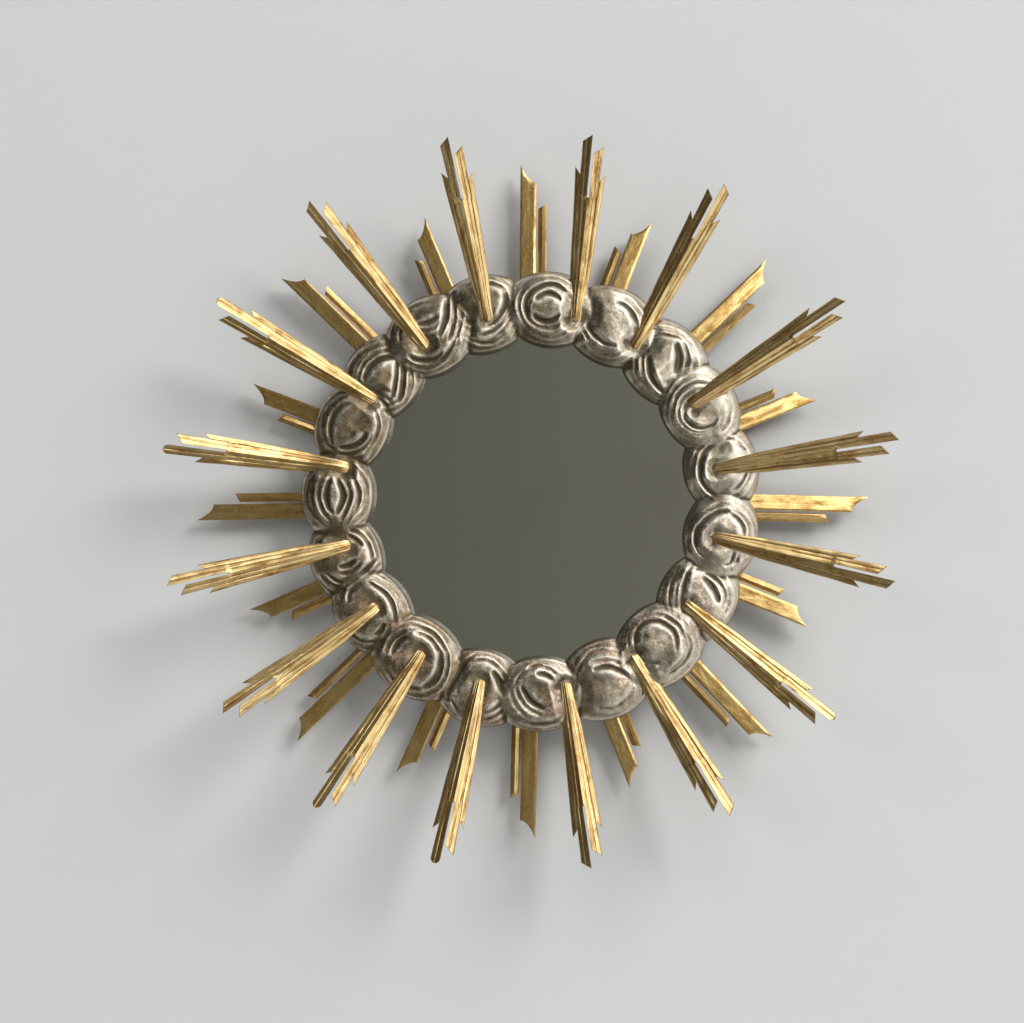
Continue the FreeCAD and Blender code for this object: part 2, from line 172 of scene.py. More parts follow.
# Flat laths in pairs behind the ring
pair_angles = [0.5, 21, 46.5, 68, 91.5, 112, 136.5, 158.5, 181.5, 204, 226.5, 246.5, 269, 290.5, 314, 337]
wide_lath_width = 20.0
narrow_lath_width = 11.0
pair_gap = 2.5
lath_root_radius = 244.0
long_wide_tip = 425.0
long_narrow_tip = 376.0
short_wide_tip = 383.0
short_narrow_tip = 339.0
wide_end_slant = 22.0
wide_end_hollow = 5.2
narrow_end_slant = 6.0
narrow_edge_thickness = 3.5
lath_shake = 0.9
lath_shake_pitch = 50.0
lath_dip = 0.5
lath_dip_pitch = 30.0
lath_dip_spread = 1.5
lath_edge_wear = 0.45
lath_edge_shade = 0.2
lath_edge_sharpness = 24.0
lath_end_sharpness = 90.0
lath_seed_step = 17.3
lath_grain_step = (0.37, 0.19)

# Screws at the back
screw_separation = 12.0
screw_neck_share = 0.48
screw_slot_share = 0.26
screw_slot_depth_share = 0.4
round_face_share = 0.8


# Node trees

class Out:
    """One output of a node, which adds Math nodes to its tree when it is used in sums."""

    def __init__(self, work, socket):
        self.work = work
        self.socket = socket

    def sum_with(self, operation, first, second):
        return self.work.make("ShaderNodeMath", {"operation": operation}, {0: first, 1: second})

    def __add__(self, other):
        return self.sum_with("ADD", self, other)

    def __sub__(self, other):
        return self.sum_with("SUBTRACT", self, other)

    def __mul__(self, other):
        return self.sum_with("MULTIPLY", self, other)

    def __truediv__(self, other):
        return self.sum_with("DIVIDE", self, other)

    def __pow__(self, other):
        return self.sum_with("POWER", self, other)

    def __radd__(self, other):
        return self.sum_with("ADD", other, self)

    def __rsub__(self, other):
        return self.sum_with("SUBTRACT", other, self)

    def __rmul__(self, other):
        return self.sum_with("MULTIPLY", other, self)

    def larger(self, other):
        return self.sum_with("MAXIMUM", self, other)

    def between(self, low, high):
        """Nought below low, one above high, and a smooth rise between them."""
        return self.work.make("ShaderNodeMapRange", {"interpolation_type": "SMOOTHSTEP"},
                              {"Value": self, "From Min": low, "From Max": high})


class Work:
    """A node tree being written."""

    def __init__(self, tree):
        self.tree = tree

    def make(self, kind, settings=None, sockets=None, out=0):
        """Adds a node: its settings first, then the values or links of its sockets. Gives one output."""
        node = self.tree.nodes.new(kind)
        for name, value in (settings or {}).items():
            setattr(node, name, value)
        for name, value in (sockets or {}).items():
            if isinstance(value, Out):
                self.tree.links.new(value.socket, node.inputs[name])
            else:
                node.inputs[name].default_value = value
        return Out(self, node.outputs[out]) if node.outputs else None

    def place(self):
        """The place on the piece, in metres."""
        return self.make("ShaderNodeTexCoord", out="Object")

    def grain(self):
        """The place along and across a ray, in metres."""
        return self.make("ShaderNodeUVMap", {"uv_map": "grain"})

    def stored(self, name):
        """A number that is stored on the piece."""
        return self.make("ShaderNodeAttribute", {"attribute_name": name}, out="Fac")

    def part(self, vector, axis):
        """One of the three parts of a vector."""
        return self.make("ShaderNodeSeparateXYZ", None, {0: vector}, out=axis)

    def joined(self, x=0.0, y=0.0, z=0.0):
        """A vector from its three parts."""
        return self.make("ShaderNodeCombineXYZ", None, {0: x, 1: y, 2: z})

    def stretched(self, place, scale, shift=(0, 0, 0)):
        return self.make("ShaderNodeMapping", None, {"Vector": place, "Scale": scale, "Location": shift})

    def cloudy(self, place, scale, detail=4.0, roughness=0.55, distortion=0.0):
        return self.make("ShaderNodeTexNoise", None, {"Vector": place, "Scale": scale, "Detail": detail,
                                                      "Roughness": roughness, "Distortion": distortion})

    def swept(self, place, line, scale, detail):
        """Noise drawn out along the lines on which a number stays the same."""
        return self.make("ShaderNodeTexNoise", {"noise_dimensions": "4D"},
                         {"Vector": place, "W": line, "Scale": scale, "Detail": detail, "Roughness": 0.6})

    def blend(self, share, first, second):
        return self.make("ShaderNodeMix", {"data_type": "RGBA"}, {0: share, 6: first, 7: second}, out=2)

    def raised(self, height, strength, distance):
        sockets = {"Height": height, "Strength": strength, "Distance": distance}
        return self.make("ShaderNodeBump", None, sockets)

    def bare_back(self):
        """One on the back of a piece, where no leaf was laid."""
        return self.stored("bare").between(0.4, 0.6)

    def light_path(self, name):
        return self.make("ShaderNodeLightPath", out=name)

    def close(self, surface):
        """Ends a material with its surface."""
        self.make("ShaderNodeOutputMaterial", None, {"Surface": surface})

    def close_partly_clear(self, share, paint):
        """Ends a material that is paint, and nothing at all where the share is one."""
        nothing = self.make("ShaderNodeBsdfTransparent")
        self.close(self.make("ShaderNodeMixShader", None, {0: share, 1: paint, 2: nothing}))


def colour(red, green, blue):
    return (red, green, blue, 1.0)


def new_material(name):
    material = bpy.data.materials.new(name)
    material.use_nodes = True
    material.node_tree.nodes.clear()
    return material, Work(material.node_tree)


def finish_with(work, sockets):
    """Closes a material with one surface shader."""
    work.close(work.make("ShaderNodeBsdfPrincipled", None, sockets))


# Finishes

def aged_silver_leaf():
    """Warm silver leaf with soiling and painted shade in the cuts and hollows, a painted shadow along the
    lip, painted shade on its left side, painted highlights on its burnished ridges, brown patina and red clay
    where the leaf is worn through.
    """
    material, work = new_material("aged_silver_leaf")
    place = work.place()
    across = work.part(place, 0)
    upwards = work.part(place, 2)
    recess = work.stored("recess")
    sweep = work.stored("sweep")
    bare = work.bare_back()
    drift = work.cloudy(place, 30.0, 6.0, 0.62)
    patches = work.cloudy(place, 85.0, 9.0, 0.72, 0.5)
    mottle = work.cloudy(place, 330.0, 6.0, 0.72, 0.4)
    strokes = work.swept(place, sweep * 520.0, 22.0, 4.0)
    scratches = work.swept(place, sweep * 1900.0, 60.0, 3.0)
    specks = work.cloudy(place, 620.0, 3.0, 0.6)
    rubs = work.cloudy(work.stretched(place, (1, 1, 1), (3.1, 1.7, 0.4)), 27.0, 6.0, 0.6, 0.6)
    # Tarnish drifts at random, and the minus across term also paints shade: the leaf is darker towards the
    # left, away from the light.
    tarnish = (drift * 0.6 + strokes * 0.4 - across * 0.30).between(0.38, 0.60)
    patina = (patches * 0.4 + mottle * 0.3 + strokes * 0.3 - across * 0.10).between(0.46, 0.57)
    # Dark mask: soiling and painted shade in the cuts and hollows, and the painted shadow along the lip, all
    # from the stored recess.
    dirt_and_shade = (recess + (mottle - 0.5) * 0.8 + (patches - 0.5) * 0.6).between(0.14, 0.66)
    # Raised places: burnished leaf and a painted highlight, both paler.
    polish_and_highlight = (0 - recess).between(0.10, 0.80)
    clay = (rubs - upwards * 0.35).between(0.54, 0.66) * mottle.between(0.42, 0.60)
    dots = specks.between(0.64, 0.70)
    leaf = work.blend(tarnish, colour(0.68, 0.62, 0.52), colour(0.24, 0.186, 0.108))
    leaf = work.blend(patina * 0.8, leaf, colour(0.138, 0.084, 0.037))
    leaf = work.blend(clay * 0.7, leaf, colour(0.29, 0.135, 0.07))
    rasped = scratches * 0.6 + mottle * 0.4
    flecks = rasped.between(0.53, 0.62)
    leaf = work.blend(flecks * 0.45, leaf, colour(0.78, 0.73, 0.635))
    scuffs = rasped.between(0.47, 0.39)
    leaf = work.blend(scuffs * 0.55, leaf, colour(0.10, 0.068, 0.032))
    # Pale burnished leaf on the ridges, partly a painted highlight.
    leaf = work.blend(polish_and_highlight * 0.6, leaf, colour(0.83, 0.79, 0.71))
    # Near-black soiling and painted shade, and the painted shadow along the lip.
    leaf = work.blend(dirt_and_shade * 0.9, leaf, colour(0.045, 0.031, 0.014))
    leaf = work.blend(dots * 0.55, leaf, colour(0.08, 0.06, 0.038))
    wood = work.blend(patches.between(0.4, 0.6), colour(0.23, 0.14, 0.075), colour(0.12, 0.07, 0.038))
    leaf = work.blend(bare, leaf, wood)
    cover = dirt_and_shade.larger(clay).larger(dots).larger(bare)
    height = patches * 0.5 + mottle * 0.25 + strokes * 0.35 + scratches * 0.2
    finish_with(work, {
        "Base Color": leaf,
        "Metallic": (1.0 - cover * 0.45 - patina * 0.10) * (1 - bare),
        "Roughness": 0.15 + patina * 0.14 + cover * 0.2 + tarnish * 0.05 - polish_and_highlight * 0.03,
        "Normal": work.raised(height, 0.22, 0.0018),
    })
    return material


def worn_gold_leaf(name, pale, deep, streaking, rubbing, metal, dullness):
    """Gold leaf drawn out along the ray, with ochre size, brown rubs and painted shade in the reed grooves,
    and dark chips showing through.
    """
    material, work = new_material(name)
    grain = work.grain()
    wear_and_shade = work.stored("wear_and_shade")
    bare = work.bare_back()
    streaks = work.cloudy(work.stretched(grain, (9.0, 240.0, 1)), 1.0, 5.0, 0.6)
    blotches = work.cloudy(work.stretched(grain, (34.0, 80.0, 1)), 1.0, 7.0, 0.68, 0.6)
    chips = work.cloudy(work.stretched(grain, (150.0, 420.0, 1)), 1.0, 6.0, 0.7)
    specks = work.cloudy(work.stretched(grain, (380.0, 560.0, 1)), 1.0, 3.0, 0.6)
    mixed = streaks * streaking + blotches * (1 - streaking)
    ochre = mixed.between(0.42, 0.62)
    brown = (mixed * 0.7 + chips * 0.3).between(0.53, 0.62)
    # Brown where the leaf is worn at the rims, and painted shade in the reed grooves.
    rubbed_and_shaded = (wear_and_shade + (blotches - 0.5) * 1.2 + (chips - 0.5) * 0.8).between(0.35, 0.80)
    dots = specks.between(0.66, 0.71)
    gold = work.blend(ochre, pale, deep)
    gold = work.blend(brown * rubbing, gold, colour(0.14, 0.075, 0.022))
    # Dark brown for worn rims and painted shade in the grooves.
    gold = work.blend(rubbed_and_shaded * 0.85, gold, colour(0.11, 0.052, 0.02))
    gold = work.blend(dots * 0.7, gold, colour(0.05, 0.028, 0.014))
    wood = work.blend(streaks.between(0.4, 0.6), colour(0.34, 0.20, 0.085), colour(0.19, 0.11, 0.05))
    gold = work.blend(bare, gold, wood)
    cover = (brown * 0.7).larger(rubbed_and_shaded * 0.8).larger(dots).larger(bare)
    height = mixed * 0.6 + chips * 0.25
    finish_with(work, {
        "Base Color": gold,
        "Metallic": (metal - cover * 0.4) * (1 - bare),
        "Roughness": dullness + ochre * 0.06 + cover * 0.22,
        "Normal": work.raised(height, 0.3, 0.0009),
    })
    return material


def silvered_glass():
    """Old plate glass with a faint, uneven haze and a few spots in its silvering."""
    material, work = new_material("silvered_glass")
    place = work.place()
    haze = work.cloudy(place, 9.0, 5.0, 0.6)
    bloom = work.cloudy(place, 60.0, 6.0, 0.7)
    mist = haze.between(0.45, 0.75)
    spots = bloom.between(0.70, 0.78)
    silvering = work.blend(mist * 0.5, colour(0.84, 0.85, 0.82), colour(0.78, 0.79, 0.75))
    finish_with(work, {
        "Base Color": work.blend(spots * 0.3, silvering, colour(0.45, 0.44, 0.40)),
        "Metallic": 1.0,
        "Roughness": 0.012 + mist * 0.012 + spots * 0.05,
    })
    return material


def plain_wood(name, pale, dark, stain):
    """Sawn wood with its grain upright."""
    material, work = new_material(name)
    place = work.place()
    drawn = work.stretched(place, (1, 1, 0.07))
    rings = work.cloudy(drawn, 55.0, 5.0, 0.55, 0.8)
    fibres = work.cloudy(drawn, 620.0, 3.0, 0.6)
    stains = work.cloudy(place, 8.0, 5.0, 0.6)
    wood = work.blend(rings.between(0.35, 0.68), pale, dark)
    wood = work.blend(fibres.between(0.52, 0.75) * 0.45, wood, dark)
    wood = work.blend(stains.between(0.5, 0.75) * 0.5, wood, stain)
    finish_with(work, {
        "Base Color": wood,
        "Roughness": 0.62 + fibres * 0.2,
        "Normal": work.raised(fibres * 0.6 + rings * 0.4, 0.3, 0.0006),
    })
    return material


def plain_metal(name, bright, dull, roughness):
    """Bare hardware with a little tarnish and fine scratches."""
    material, work = new_material(name)
    place = work.place()
    tarnish = work.cloudy(place, 120.0, 5.0, 0.6)
    scratches = work.cloudy(work.stretched(place, (1, 1, 0.05)), 1800.0, 2.0, 0.5)
    finish_with(work, {
        "Base Color": work.blend(tarnish.between(0.42, 0.7), bright, dull),
        "Metallic": 1.0,
        "Roughness": roughness + tarnish * 0.2,
        "Normal": work.raised(scratches, 0.12, 0.0003),
    })
    return material


silver_leaf = aged_silver_leaf()
reeded_gold = worn_gold_leaf("reeded_gold_leaf", colour(0.87, 0.665, 0.335), colour(0.41, 0.215, 0.056),
                             0.55, 0.9, 0.96, 0.24)
flat_gold = worn_gold_leaf("flat_gold_leaf", colour(0.80, 0.585, 0.255), colour(0.46, 0.265, 0.072),
                           0.35, 0.2, 0.88, 0.17)
mirror_silver = silvered_glass()
panel_wood = plain_wood("panel_wood", colour(0.50, 0.33, 0.17), colour(0.32, 0.19, 0.09),
                        colour(0.20, 0.12, 0.06))
backing_wood = plain_wood("backing_wood", colour(0.36, 0.22, 0.115), colour(0.20, 0.11, 0.052),
                          colour(0.11, 0.065, 0.035))
steel = plain_metal("zinc_steel", colour(0.62, 0.62, 0.63), colour(0.40, 0.39, 0.37), 0.30)
brass = plain_metal("dull_brass", colour(0.72, 0.54, 0.26), colour(0.42, 0.29, 0.12), 0.32)


# Meshes

def clock_point(radius, degrees):
    """A point of the wall at a radius and clock angle, in metres."""
    turn = math.radians(degrees)
    return Vector((radius * math.sin(turn), 0, radius * math.cos(turn))) * millimetre


def finished(name, mesh, replaced):
    """A piece that rides on the frame and stands for one node, with its faces turned outwards."""
    tidy = bmesh.new()
    tidy.from_mesh(mesh)
    bmesh.ops.recalc_face_normals(tidy, faces=tidy.faces)
    tidy.to_mesh(mesh)
    tidy.free()
    mesh.shade_smooth()
    mesh.set_sharp_from_angle(angle=math.radians(sharp_edge))
    piece = bpy.data.objects.new(name, mesh)
    bpy.context.scene.collection.objects.link(piece)
    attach(piece, "frame")
    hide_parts(replaced)
    return piece


def new_piece(name, vertices, faces, material, replaced):
    mesh = bpy.data.meshes.new(name)
    mesh.from_pydata(vertices, [], faces)
    mesh.materials.append(material)
    return finished(name, mesh, replaced)


def set_values(mesh, name, values):
    """Stores one number for each vertex, for the finish to read."""
    attribute = mesh.attributes.new(name, "FLOAT", "POINT")
    attribute.data.foreach_set("value", np.asarray(values, np.float32).ravel())


# Carved ring of clouds

class Cut:
    """One sweep of the gouge on an arc through three points of a cloud: to the right and outwards."""

    def __init__(self, start, middle, end, width, depth):
        first, second, third = complex(*start), complex(*middle), complex(*end)
        ratio = (third - first) / (second - first)
        self.centre = (second - first) * (ratio - abs(ratio) ** 2) / (2j * ratio.imag) + first
        self.radius = abs(first - self.centre)
        self.start = first - self.centre
        passed = self.turn_from_start(second)
        whole = self.turn_from_start(third)
        self.direction = 1 if passed <= whole else -1
        self.span = whole if passed <= whole else 2 * math.pi - whole
        self.width = width * gouge_spread
        self.depth = depth * gouge_bite

    def turn_from_start(self, point):
        return np.mod(np.angle((point - self.centre) / self.start), 2 * math.pi)

    def distance_to(self, across, outwards):
        """How far each place is from the circle that the cut lies on."""
        return np.abs(np.abs(across + 1j * outwards - self.centre) - self.radius)

    def depth_at(self, across, outwards):
        """How much wood is taken at each place: by the cut and by shallower sweeps outside it."""
        point = across + 1j * outwards
        turn = np.mod(self.direction * np.angle((point - self.centre) / self.start), 2 * math.pi)
        swell = np.sin(math.pi * np.clip(turn / self.span, 0, 1)) ** gouge_bluntness
        off_line = np.abs(point - self.centre) - self.radius
        taken = np.zeros_like(off_line)
        for step, share in enumerate(sweep_shares):
            width = self.width * (gouge_end_width + (1 - gouge_end_width) * swell)
            apart = np.abs(off_line - step * sweep_spacing) / width
            taken = np.maximum(taken, share * self.depth * swell * (1 - np.clip(apart, 0, 1) ** 2) ** 2)
        return taken


def crescent(radius, first, last, width, depth, centre=(0, 0)):
    """A cut on a circle about a cloud's middle, from one clock angle to another."""
    points = []
    for degrees in (first, (first + last) / 2, last):
        turn = math.radians(degrees)
        points.append((centre[0] + radius * math.sin(turn), centre[1] + radius * math.cos(turn)))
    return Cut(*points, width, depth)


# The cuts of each cloud, in the order of the clouds
cloud_cuts = [
    [crescent(28, -160, 70, 5, 3.2, (-3, 1)), crescent(17, -62, 62, 4, 2.8, (-4, 1)),
     crescent(20, 112, 238, 4.5, 3.2, (-5, 3)), crescent(38, 100, 250, 3, 1.0)],
    [crescent(36, -20, 80, 3.5, 1.9), crescent(29, -15, 85, 4, 2.6),
     Cut((-37, 6), (-20, -18), (18, -21), 4.5, 2.8), Cut((-38, -16), (-20, -38), (2, -43), 3, 1.5)],
    [Cut((-6, 26), (12, 13), (25, -5), 5.5, 4.4), Cut((-20, -8), (-6, -23), (30, -27), 5, 3.8),
     crescent(38, -60, 30, 3, 1.3), crescent(33, -65, 10, 3, 1.5), crescent(40, 150, 215, 3, 1.0)],
    [crescent(21, 40, 325, 4, 2.6, (6, -3)), crescent(27, 60, 320, 3.5, 2.4, (5, -3)),
     crescent(34, 150, 330, 3.5, 1.9, (3, -2)), crescent(38, 20, 90, 3, 1.2)],
    [Cut((-33, -1), (-8, -27), (35, -11), 5, 3.4), Cut((-30, -22), (2, -36), (44, -24), 4, 2.2),
     crescent(37, 5, 75, 3, 1.7), crescent(31, 10, 75, 3, 1.9), crescent(36, -70, -10, 3, 1.0)],
    [Cut((-30, 8), (-19, -22), (24, -27), 5, 3.6), Cut((-36, 2), (-26, -30), (10, -42), 3.5, 1.7),
     crescent(35, -75, 0, 3, 1.9), crescent(29, -80, 0, 3, 2.1), crescent(40, -70, -10, 2.5, 1.0),
     Cut((17, 24), (24, 26), (32, 23), 2.4, 2.0), Cut((17, 18), (25, 19.5), (33, 17), 2.4, 2.0),
     crescent(36, 20, 75, 3, 1.5)],
    [Cut((-7, 25), (-20, 11), (-26, -8), 4.5, 3.2), Cut((-36, -25), (4, -21), (37, 8), 5, 3.2),
     Cut((-30, -38), (8, -36), (38, -14), 4, 2.4), crescent(38, -70, 5, 3, 1.5),
     crescent(33, -72, -5, 3, 1.7)],
    [crescent(27, 25, 335, 4.5, 3.2, (1, -8)), crescent(34, 80, 250, 3.5, 2.1, (0, -5)),
     crescent(36, -75, 25, 3.5, 2.1), crescent(41, -60, 20, 2.5, 1.2), crescent(32, -80, 20, 3, 1.5)],
    [Cut((-28, 8), (-17, -9), (11, -18), 4.5, 3.8), crescent(36, 125, 245, 2.5, 1.3),
     crescent(40, 130, 240, 2.5, 1.0), crescent(35, -50, 40, 3, 1.3), crescent(39, -55, 35, 2.5, 0.9)],
    [Cut((-5, 17), (12, 6), (23, -13), 4.5, 4.0), Cut((-20, -15), (-8, -26), (4, -27), 4, 3.0),
     Cut((-10, -35), (4, -38), (17, -35), 3.5, 2.2), crescent(41, 150, 230, 3, 1.2),
     crescent(36, -40, 45, 3, 1.3)],
    [Cut((-34, 8), (-26, -10), (-11, -27), 5, 3.6), Cut((30, 28), (36, -4), (18, -39), 6, 4.2),
     Cut((40, 18), (43, -8), (30, -36), 3, 1.7), crescent(38, -75, -20, 3, 1.5), crescent(36, 20, 60, 3, 1.6),
     crescent(30, -70, -20, 3, 1.3)],
    [Cut((-24, 28), (-33, -4), (-16, -27), 5.5, 4.2), Cut((25, 15), (30, 0), (25, -16), 4.5, 3.4),
     Cut((-36, -21), (-5, -37), (36, -27), 4.5, 2.8), Cut((-30, -10), (-4, -30), (24, -25), 3.5, 2.2),
     crescent(37, -50, 30, 3, 1.4), crescent(42, 130, 230, 3, 1.2)],
    [Cut((-24, 14), (-25, 5), (-20, -5), 3, 2.4), Cut((-32, -15), (0, -29), (36, -16), 3.5, 2.6),
     Cut((-34, -21), (2, -35), (38, -22), 3, 1.9), Cut((-30, -29), (2, -40), (34, -30), 3, 1.5),
     crescent(36, -70, 20, 3, 1.6), crescent(41, -60, 10, 2.5, 1.0),
     Cut((25, 17), (35, 8), (38, -8), 3.5, 2.2)],
    [Cut((-8, 10), (-10, -2), (-5, -13), 3.5, 2.8), Cut((-28, -6), (-22, -24), (-13, -39), 4.5, 3.2),
     Cut((-34, 4), (-33, -16), (-24, -36), 3, 1.7), crescent(36, -75, -15, 3, 1.9),
     crescent(30, -72, -20, 3, 1.9),
     Cut((28, -10), (20, -20), (8, -24), 4, 3.0), crescent(38, 25, 80, 3, 1.3)],
    [Cut((-25, 3), (-1, 13), (22, 7), 4, 3.2), Cut((-25, 1), (-2, -9), (22, 3), 4, 3.0),
     Cut((-33, 8), (-2, 22), (26, 18), 3, 1.9), Cut((-33, -4), (0, -17), (28, -8), 3, 2.1),
     crescent(36, -60, 50, 3, 1.4), crescent(41, -50, 45, 2.5, 1.0),
     Cut((-30, -19), (6, -28), (34, -10), 3.5, 2.4),
     Cut((-16, -36), (14, -38), (40, -18), 3.5, 2.1)],
    [Cut((-30, 6), (-21, -14), (0, -21), 4.5, 3.4), Cut((-30, 12), (-6, 26), (24, 14), 4, 2.1),
     crescent(36, -80, 10, 3, 1.7), crescent(41, -70, 15, 2.5, 1.0),
     Cut((-38, -22), (-6, -34), (30, -24), 3, 1.9),
     Cut((-32, -30), (-4, -39), (28, -31), 3, 1.6)],
    [Cut((-18, 13), (4, 19), (28, 3), 4.5, 3.4), Cut((-16, -36), (14, -25), (36, -2), 5, 3.6),
     Cut((-10, -42), (22, -33), (40, -12), 3.5, 2.2), Cut((-20, -27), (8, -18), (32, 5), 3.5, 2.1),
     Cut((-30, -8), (-25, -20), (-28, -30), 3.5, 2.4), crescent(38, -50, 40, 3, 1.6),
     crescent(33, -45, 40, 2.5, 1.3)],
    [Cut((-38, -4), (-26, -22), (4, -27), 5, 3.2), Cut((-40, -20), (-6, -34), (28, -18), 4, 2.4),
     Cut((8, -8), (24, 6), (38, 32), 4.5, 3.2), Cut((16, -18), (33, 0), (44, 22), 3.5, 2.2),
     Cut((-6, 20), (8, 14), (20, 16), 3.5, 2.4), crescent(37, -70, 0, 3, 1.5),
     crescent(41, -60, 30, 2.5, 1.0)],
    [Cut((-24, 36), (-33, 14), (-32, -10), 4, 2.6), Cut((0, -18), (24, -4), (30, 24), 4, 2.4),
     Cut((-14, -26), (22, -14), (34, 14), 3.5, 2.0), Cut((-18, -36), (20, -26), (40, 2), 3, 1.6),
     crescent(38, -20, 60, 3, 1.3), Cut((-27, 18), (-26, 2), (-16, -12), 3.5, 2.2)],
]


def glass_side_lines(radius):
    """Fine lines along the lip of a cloud that hangs over the glass."""
    lines = []
    for share, depth in lip_lines:
        lines.append(crescent(radius * share, lip_line_from, lip_line_to, lip_line_width, depth))
    return lines


def dome(distance, radius):
    """A cloud before it is cut: a full boss that rolls over steeply at its rim."""
    share = np.clip(distance / radius, 0, 1)
    fullness = (1 - share ** cloud_squareness) ** cloud_roll
    return cloud_rim_height + (cloud_crest_height - cloud_rim_height) * fullness


def ring_edges(turns):
    """The scalloped inner and outer outline of the ring, at each turn."""
    inner = np.full_like(turns, web_inner_radius)
    outer = np.full_like(turns, web_outer_radius)
    for degrees, radius in zip(cloud_angles, cloud_radii):
        away = turns - math.radians(degrees)
        slimness = (np.sin(away) / cloud_breadth) ** 2 + np.cos(away) ** 2
        middle = cloud_circle * np.cos(away) / slimness
        half_chord = middle ** 2 - (cloud_circle ** 2 - radius ** 2) / slimness
        met = (half_chord > 0) & (middle > 0)
        half_chord = np.sqrt(np.where(met, half_chord, 0))
        inner = np.where(met, np.minimum(inner, middle - half_chord), inner)
        outer = np.where(met, np.maximum(outer, middle + half_chord), outer)
    return inner, outer


def soft_noise(points, scale, seed):
    """Slow random drift in three directions, each about nought."""
    shift = Vector((seed, 2.7 * seed, 0.3 * seed))
    noise.seed_set(carving_seed)
    drift = [noise.noise_vector(Vector(point) * scale + shift) for point in points]
    return np.array(drift)


def carved_heights(turns, radii):
    """The height of the carving above the flat back of the ring."""
    x = radii * np.sin(turns)[:, None]
    z = radii * np.cos(turns)[:, None]
    points = np.stack([x, np.zeros_like(x), z], axis=-1).reshape(-1, 3)
    wander = wander_reach * soft_noise(points, 1 / wander_pitch, 1).reshape(*x.shape, 3)
    hewn = hewn_height * soft_noise(points, 1 / hewn_pitch, 2).reshape(*x.shape, 3)
    swell = swell_height * soft_noise(points, 1 / swell_pitch, 3).reshape(*x.shape, 3)
    off_middle = np.clip(np.abs(radii - cloud_circle) / (web_outer_radius - cloud_circle), 0, 1)
    heights = web_edge_height + (web_crest_height - web_edge_height) * np.sqrt(1 - off_middle ** 2)
    beneath = heights - web_crest_height
    grime_and_shade = np.zeros_like(x)
    sweep = np.zeros_like(x)
    spans = []
    for degrees in cloud_angles:
        turn = math.radians(degrees)
        sideways = x * math.cos(turn) - z * math.sin(turn)
        outwards = x * math.sin(turn) + z * math.cos(turn) - cloud_circle
        spans.append(np.hypot(sideways / cloud_breadth, outwards))
    for number, cuts in enumerate(cloud_cuts):
        turn = math.radians(cloud_angles[number])
        radius = cloud_radii[number]
        lead = cloud_leads[number]
        apart = spans[number]
        tuck = np.zeros_like(x)
        for other in (number - 1, (number + 1) % len(cloud_cuts)):
            if cloud_leads[other] > lead:
                beyond = (spans[other] - overlap_share * cloud_radii[other]) / tuck_reach
                tuck = np.maximum(tuck, tuck_depth * np.clip(1 - beyond, 0, 1) ** 1.5)
        away = np.mod(turns - turn + math.pi, 2 * math.pi) - math.pi
        across = cloud_circle * away[:, None] + wander[..., 0]
        outwards = radii - cloud_circle + wander[..., 1]
        taken = np.zeros_like(x)
        nearest = np.full_like(x, cloud_circle)
        for cut in cuts + glass_side_lines(radius):
            taken = np.maximum(taken, cut.depth_at(across, outwards))
            nearest = np.minimum(nearest, cut.distance_to(across, outwards))
        rim = np.clip((radius - apart) / rim_reach, 0, 1)
        cloud = dome(apart, radius) + lead - tuck + rim * (swell[..., 0] - taken)
        cloud = np.where((apart < radius + rim_slack) & (np.cos(turns - turn)[:, None] > 0), cloud, 0)
        above = cloud > heights
        sweep = np.where(above, nearest, sweep)
        beneath = np.where(above, heights, np.maximum(beneath, cloud))
        # Soiling and painted shade at the bottom of each cut, by how deep it goes.
        grime_and_shade = np.where(above, (taken / grime_and_shade_depth) ** 2, grime_and_shade)
        heights = np.maximum(heights, cloud)
    drop = heights - beneath
    heights += valley_fill * np.clip(1 - drop / valley_reach, 0, 1) ** 2
    for number in range(len(forked_rays)):
        heights = ForkedRay(number).bedded(x, z, heights)
    # Soiling and painted shade in the creases where one cloud meets the next.
    crease = crease_grime_and_shade * np.clip(1 - drop / crease_height, 0, 1)
    return heights + hewn[..., 0], np.maximum(grime_and_shade, crease), sweep


def blurred(heights, reach):
    """The heights smoothed over a reach of rows and columns."""
    total = np.zeros_like(heights)
    for step in range(-reach, reach + 1):
        total += np.roll(heights, step, axis=0)
    across = np.pad(total / (2 * reach + 1), ((0, 0), (reach, reach)), mode="edge")
    total = np.zeros_like(heights)
    for step in range(2 * reach + 1):
        total += across[:, step:step + heights.shape[1]]
    return total / (2 * reach + 1)


